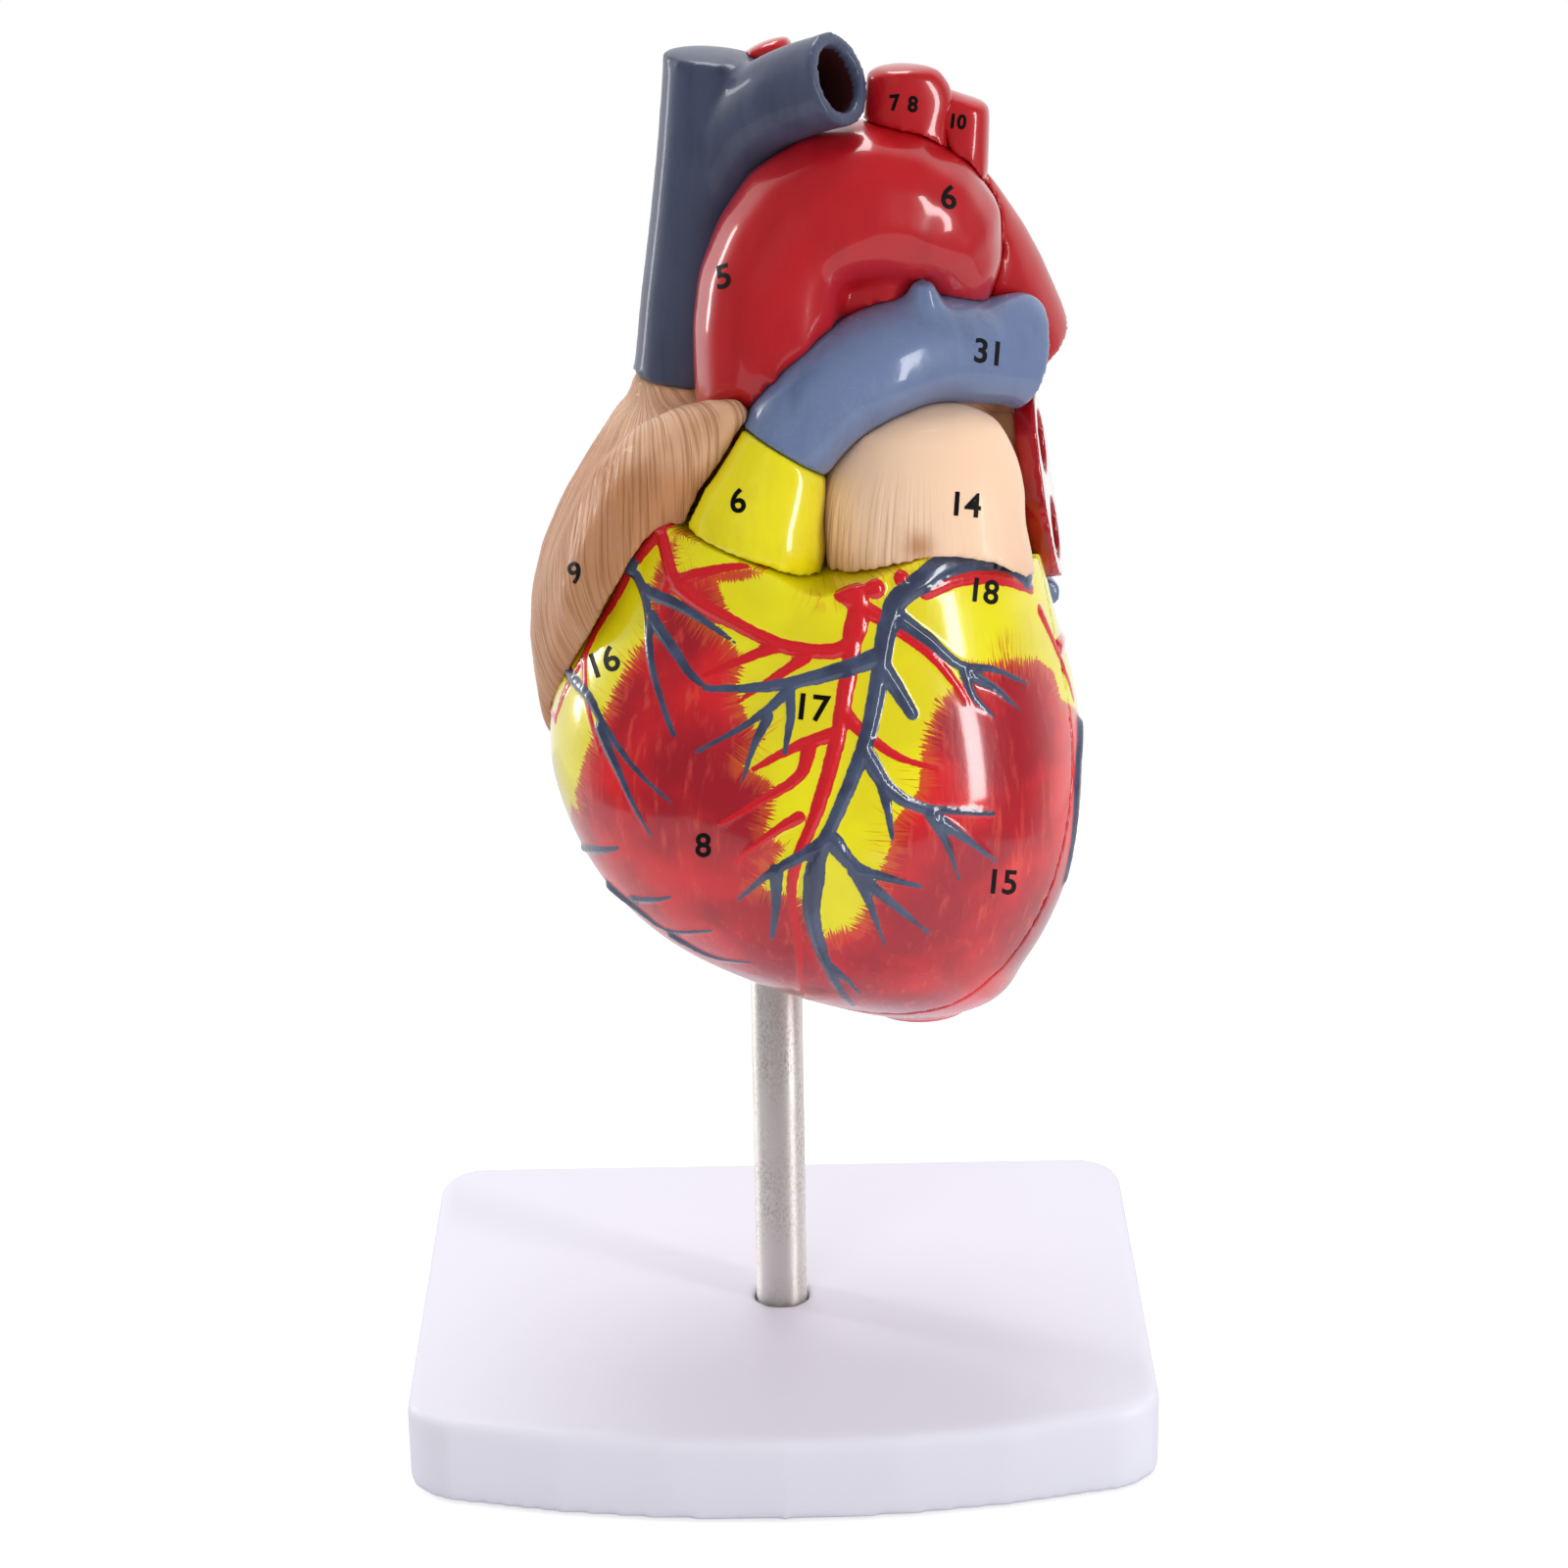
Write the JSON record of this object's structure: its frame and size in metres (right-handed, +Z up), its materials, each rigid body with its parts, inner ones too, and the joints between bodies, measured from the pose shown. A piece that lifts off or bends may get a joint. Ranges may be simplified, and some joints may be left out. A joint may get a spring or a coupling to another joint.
{
  "type": "anatomical heart model",
  "caption": "Life-size human heart teaching model with a lift-off front wall, inner chambers, valves and great vessels, turning on a steel rod in a white base.",
  "frame": {"origin": "under the middle of the base, on the rod's axis, where the feet meet the table", "axes": "+Z up along the rod, -Y to the front that the lift-off wall faces, +X to the right seen from the front"},
  "size_m": [0.143, 0.112, 0.2698],
  "materials": {
    "base": "satin gloss moulded plastic",
    "rubber": "matte",
    "steel": "brushed",
    "plated_magnet": "plated",
    "plain_plastic": "matte",
    "muscle_red": "hand-painted, glossy varnish",
    "fat_yellow": "hand-painted, glossy varnish",
    "artery_red": "hand-painted, glossy varnish",
    "vein_blue": "hand-painted, glossy varnish",
    "atrium_tan": "hand-painted, satin varnish",
    "valve_cream": "hand-painted, satin varnish"
  },
  "bodies": {
    "stand": {"base_shell": "base", "base_foot_front_left": "rubber", "base_foot_front_right": "rubber", "base_foot_back_left": "rubber", "base_foot_back_right": "rubber", "support_rod": "steel", "rod_insert": "steel", "rod_screw": "steel", "rod_washer": "steel"},
    "sleeve": {"mounting_sleeve": "plain_plastic"},
    "heart": {"back_magnet_1": "plated_magnet", "back_magnet_2": "plated_magnet", "back_magnet_3": "plated_magnet", "ventricle_back_half": "muscle_red", "pulmonary_trunk_root": "fat_yellow", "aortic_arch": "artery_red", "descending_aorta": "artery_red", "brachiocephalic_artery": "artery_red", "left_common_carotid_artery": "artery_red", "left_subclavian_artery": "artery_red", "left_pulmonary_veins": "artery_red", "right_upper_pulmonary_vein": "artery_red", "right_lower_pulmonary_vein": "artery_red", "superior_vena_cava": "vein_blue", "left_brachiocephalic_vein": "vein_blue", "inferior_vena_cava": "vein_blue", "coronary_sinus": "vein_blue", "pulmonary_artery": "vein_blue", "right_pulmonary_artery": "vein_blue", "right_atrium": "atrium_tan", "left_auricle": "atrium_tan", "left_atrium": "atrium_tan", "mitral_valve": "valve_cream", "tricuspid_valve": "valve_cream", "aortic_valve": "valve_cream", "pulmonary_valve": "valve_cream", "left_front_papillary_muscle": "valve_cream", "left_back_papillary_muscle": "valve_cream", "right_papillary_muscle": "valve_cream"},
    "front_wall": {"front_wall": "fat_yellow", "front_magnet_1": "plated_magnet", "front_magnet_2": "plated_magnet", "front_magnet_3": "plated_magnet", "locating_pin_1": "plain_plastic", "locating_pin_2": "plain_plastic"}
  },
  "joints": [
    {"name": "sleeve_lift", "type": "slide", "parent": "stand", "child": "sleeve", "axis": [0, 0, 1], "range_m": [0, 0.045]},
    {"name": "heart_turn", "type": "hinge", "parent": "sleeve", "child": "heart", "pos_m": [0, 0, 0.11], "axis": [0, 0, 1], "continuous": true},
    {"name": "front_wall_pull", "type": "slide", "parent": "heart", "child": "front_wall", "axis": [0, -1, 0], "range_m": [0, 0.09]}
  ]
}
